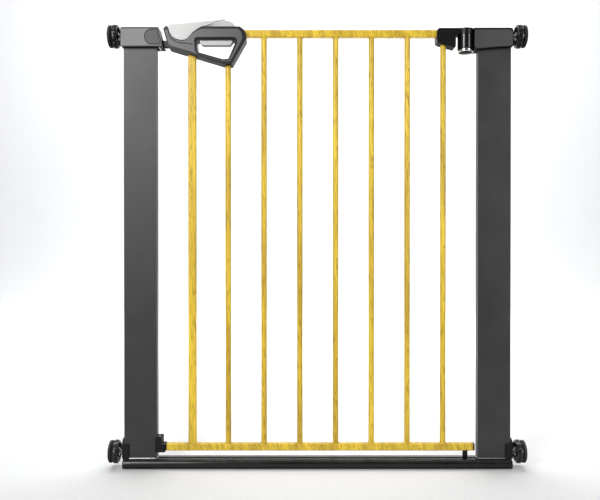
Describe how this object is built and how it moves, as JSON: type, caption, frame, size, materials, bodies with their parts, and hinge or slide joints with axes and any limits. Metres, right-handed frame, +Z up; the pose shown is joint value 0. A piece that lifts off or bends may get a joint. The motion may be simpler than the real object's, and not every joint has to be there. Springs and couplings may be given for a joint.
{
  "type": "safety baby gate",
  "caption": "Pressure-fit doorway safety gate: steel U-frame with a barred gate that unlatches, lifts and swings both ways, held by screw-out wall pads.",
  "frame": {"origin": "middle of the threshold, on the floor", "axes": "+X across the doorway from the latch post to the hinge post, +Y through the doorway away from the front face, +Z up"},
  "size_m": [0.7328, 0.0406, 0.7868],
  "materials": {
    "charcoal_steel": "satin powder coat",
    "black_steel": "gloss black coat",
    "wood_print": "wood-grain printed film, satin",
    "grey_plastic": "matte dark grey",
    "black_plastic": "satin black",
    "light_plastic": "satin light grey",
    "bright_steel": "zinc plated",
    "cap_chrome": "polished",
    "pad_rubber": "matte"
  },
  "bodies": {
    "frame": {"left_post": "charcoal_steel", "right_post": "charcoal_steel", "threshold_tubes": "black_steel", "threshold_plugs": "black_plastic", "latch_housing_front": "black_plastic", "latch_housing_rear": "black_plastic", "latch_strike": "bright_steel", "hinge_housing_front": "black_plastic", "hinge_housing_rear": "black_plastic", "housing_screws": "bright_steel", "hinge_barrel": "black_steel", "barrel_cap": "cap_chrome", "hinge_bush": "light_plastic", "closing_spring": "bright_steel", "left_collar": "black_plastic", "right_collar": "black_plastic", "gate_keeper": "black_plastic", "keeper_rivets": "bright_steel", "pivot_bush": "black_plastic", "spindle_nuts": "bright_steel"},
    "hinge_carrier": {"spring_cup": "bright_steel"},
    "gate": {"top_rail": "wood_print", "bottom_rail": "wood_print", "bar_1": "wood_print", "bar_2": "wood_print", "bar_3": "wood_print", "bar_4": "wood_print", "bar_5": "wood_print", "bar_6": "wood_print", "bar_7": "wood_print", "bar_8": "wood_print", "rail_end_cap": "black_plastic", "rail_end_bolt": "black_plastic", "lower_pivot": "black_plastic", "hinge_bracket": "black_plastic", "hinge_pin": "bright_steel", "hinge_nut": "bright_steel", "handle_front": "black_plastic", "handle_rear": "black_plastic", "handle_top_cover": "light_plastic", "handle_screws": "bright_steel", "trigger_spring": "bright_steel", "button_spring": "bright_steel"},
    "trigger": {"trigger": "light_plastic"},
    "bolt": {"latch_bolt": "black_plastic"},
    "thumb_button": {"thumb_button": "light_plastic"},
    "pad_top_left": {"pad_top_left": "pad_rubber"},
    "wheel_top_left": {"wheel_top_left": "black_plastic", "rod_top_left": "bright_steel"},
    "pad_top_right": {"pad_top_right": "pad_rubber"},
    "wheel_top_right": {"wheel_top_right": "black_plastic", "rod_top_right": "bright_steel"},
    "pad_low_left": {"pad_low_left": "pad_rubber"},
    "wheel_low_left": {"wheel_low_left": "black_plastic", "rod_low_left": "bright_steel"},
    "pad_low_right": {"pad_low_right": "pad_rubber"},
    "wheel_low_right": {"wheel_low_right": "black_plastic", "rod_low_right": "bright_steel"}
  },
  "joints": [
    {"name": "gate_lift", "type": "slide", "parent": "frame", "child": "hinge_carrier", "axis": [0, 0, 1], "range_m": [0, 0.008], "deforming": ["closing_spring"]},
    {"name": "gate_swing", "type": "hinge", "parent": "hinge_carrier", "child": "gate", "pos_m": [0.2615, 0, 0.4], "axis": [0, 0, 1], "range_deg": [-90, 90], "stiffness_Nm_per_rad": 0.6},
    {"name": "trigger_pull", "type": "slide", "parent": "gate", "child": "trigger", "axis": [0, 0, 1], "range_m": [0, 0.005], "stiffness_N_per_m": 600, "springref_m": -0.004, "deforming": ["trigger_spring"]},
    {"name": "bolt_draw", "type": "slide", "parent": "gate", "child": "bolt", "axis": [1, 0, 0], "range_m": [0, 0.0105]},
    {"name": "thumb_press", "type": "slide", "parent": "gate", "child": "thumb_button", "axis": [0, 0, -1], "range_m": [0, 0.003], "stiffness_N_per_m": 400, "springref_m": -0.004, "deforming": ["button_spring"]},
    {"name": "pad_reach_top_left", "type": "slide", "parent": "frame", "child": "pad_top_left", "axis": [-1, 0, 0], "range_m": [0, 0.0281]},
    {"name": "wheel_turn_top_left", "type": "hinge", "parent": "pad_top_left", "child": "wheel_top_left", "pos_m": [-0.355, 0, 0.7599], "axis": [-1, 0, 0], "range_deg": [0, 5040]},
    {"name": "pad_reach_top_right", "type": "slide", "parent": "frame", "child": "pad_top_right", "axis": [1, 0, 0], "range_m": [0, 0.0281]},
    {"name": "wheel_turn_top_right", "type": "hinge", "parent": "pad_top_right", "child": "wheel_top_right", "pos_m": [0.355, 0, 0.7599], "axis": [1, 0, 0], "range_deg": [0, 5040]},
    {"name": "pad_reach_low_left", "type": "slide", "parent": "frame", "child": "pad_low_left", "axis": [-1, 0, 0], "range_m": [0, 0.0281]},
    {"name": "wheel_turn_low_left", "type": "hinge", "parent": "pad_low_left", "child": "wheel_low_left", "pos_m": [-0.355, 0, 0.0275], "axis": [-1, 0, 0], "range_deg": [0, 5040]},
    {"name": "pad_reach_low_right", "type": "slide", "parent": "frame", "child": "pad_low_right", "axis": [1, 0, 0], "range_m": [0, 0.0281]},
    {"name": "wheel_turn_low_right", "type": "hinge", "parent": "pad_low_right", "child": "wheel_low_right", "pos_m": [0.355, 0, 0.0275], "axis": [1, 0, 0], "range_deg": [0, 5040]}
  ],
  "couplings": [
    {"joint": "bolt_draw", "follows": "trigger_pull", "ratio": 2.1},
    {"joint": "pad_reach_top_left", "follows": "wheel_turn_top_left", "m_per_rad": 0.00031831},
    {"joint": "pad_reach_top_right", "follows": "wheel_turn_top_right", "m_per_rad": 0.00031831},
    {"joint": "pad_reach_low_left", "follows": "wheel_turn_low_left", "m_per_rad": 0.00031831},
    {"joint": "pad_reach_low_right", "follows": "wheel_turn_low_right", "m_per_rad": 0.00031831}
  ]
}
